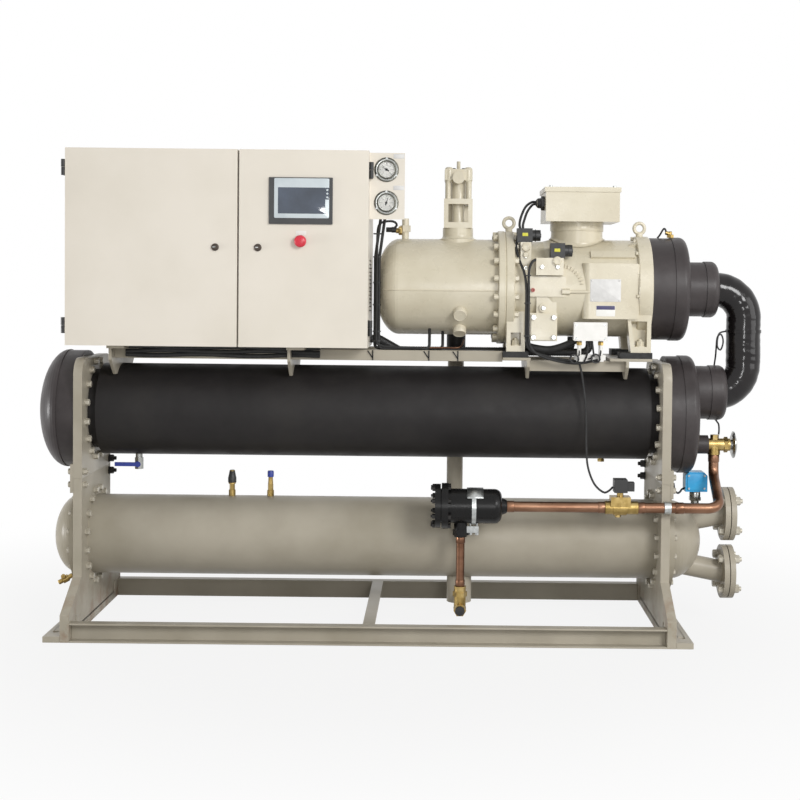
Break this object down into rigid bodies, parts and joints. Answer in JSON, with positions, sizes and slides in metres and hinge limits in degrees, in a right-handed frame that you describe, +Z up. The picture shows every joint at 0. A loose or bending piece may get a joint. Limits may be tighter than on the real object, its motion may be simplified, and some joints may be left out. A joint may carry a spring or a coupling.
{
  "type": "water cooled screw chiller",
  "caption": "Packaged water cooled chiller: insulated shell and tube evaporator above a condenser between end plates, with a screw compressor and a control cabinet on top",
  "frame": {"origin": "on the floor, midway between the end plates and midway between the front and rear rails, at the middle of the four anchor holes", "axes": "+X to the right seen from the cabinet's front, +Y to the back, +Z up"},
  "size_m": [2.488, 0.76, 1.612],
  "materials": {
    "frame_paint": "grey beige gloss paint",
    "cabinet_paint": "cream powder coat",
    "casting_paint": "beige paint on cast iron",
    "foam": "black closed cell foam sheet",
    "black_paint": "black enamel",
    "copper": "drawn copper tube",
    "brass": "machined brass",
    "zinc": "zinc plated steel",
    "rubber": "black rubber",
    "black_plastic": "black moulded plastic",
    "panel_plastic": "dark grey moulded plastic",
    "red_plastic": "red moulded plastic",
    "blue_plastic": "blue moulded plastic",
    "white_plastic": "white moulded plastic",
    "steel": "stainless steel",
    "lever_vinyl": "blue vinyl sleeve"
  },
  "bodies": {
    "chiller": {"base_rails": "frame_paint", "base_cross_bar": "frame_paint", "leg_plates": "frame_paint", "foot_bars": "frame_paint", "tube_sheets": "frame_paint", "splice_plates": "frame_paint", "evaporator_shell": "foam", "evaporator_left_cover": "foam", "evaporator_right_cover": "foam", "chilled_water_nozzles": "frame_paint", "suction_pipe": "foam", "compressor_suction_end": "foam", "condenser_shell": "frame_paint", "condenser_left_cover": "frame_paint", "condenser_water_box": "frame_paint", "flange_gaskets": "rubber", "companion_flanges": "frame_paint", "condenser_sump": "frame_paint", "outlet_valve": "brass", "filter_drier": "black_paint", "pipe_clamps": "zinc", "liquid_line": "copper", "solenoid_valve": "brass", "solenoid_coil": "black_plastic", "expansion_valve": "brass", "expansion_head": "steel", "flow_switch": "blue_plastic", "vessel_saddles": "frame_paint", "tie_angles": "frame_paint", "compressor_pads": "rubber", "oil_separator": "casting_paint", "compressor_casing": "casting_paint", "terminal_box": "casting_paint", "capacity_coils": "black_plastic", "discharge_valve": "casting_paint", "discharge_pipe": "frame_paint", "cabinet_sides": "cabinet_paint", "cabinet_back": "cabinet_paint", "cabinet_roof_and_floor": "cabinet_paint", "cabinet_post": "cabinet_paint", "mounting_plate": "zinc", "hinge_pins": "black_plastic", "gauge_panel": "cabinet_paint", "pressure_gauges": "steel", "drain_valve": "brass", "service_valves": "brass", "pressure_switch": "white_plastic", "gauge_lines": "rubber", "power_conduits": "black_plastic", "solenoid_lead": "rubber"},
    "left_door": {"left_door": "cabinet_paint"},
    "right_door": {"right_door": "cabinet_paint", "touch_panel": "panel_plastic"},
    "stop_button": {"stop_button": "red_plastic"},
    "drain_lever": {"drain_lever": "lever_vinyl"}
  },
  "joints": [
    {"name": "left_door_hinge", "type": "hinge", "parent": "chiller", "child": "left_door", "pos_m": [-1.026, -0.24, 1.286], "axis": [0, 0, -1], "range_deg": [0, 120]},
    {"name": "right_door_hinge", "type": "hinge", "parent": "chiller", "child": "right_door", "pos_m": [-0.009, -0.24, 1.286], "axis": [0, 0, 1], "range_deg": [0, 120]},
    {"name": "stop_press", "type": "slide", "parent": "right_door", "child": "stop_button", "axis": [0, 1, 0], "range_m": [0, 0.005]},
    {"name": "drain_turn", "type": "hinge", "parent": "chiller", "child": "drain_lever", "pos_m": [-0.822, -0.02, 0.538], "axis": [0, -1, 0], "range_deg": [0, 90]}
  ]
}
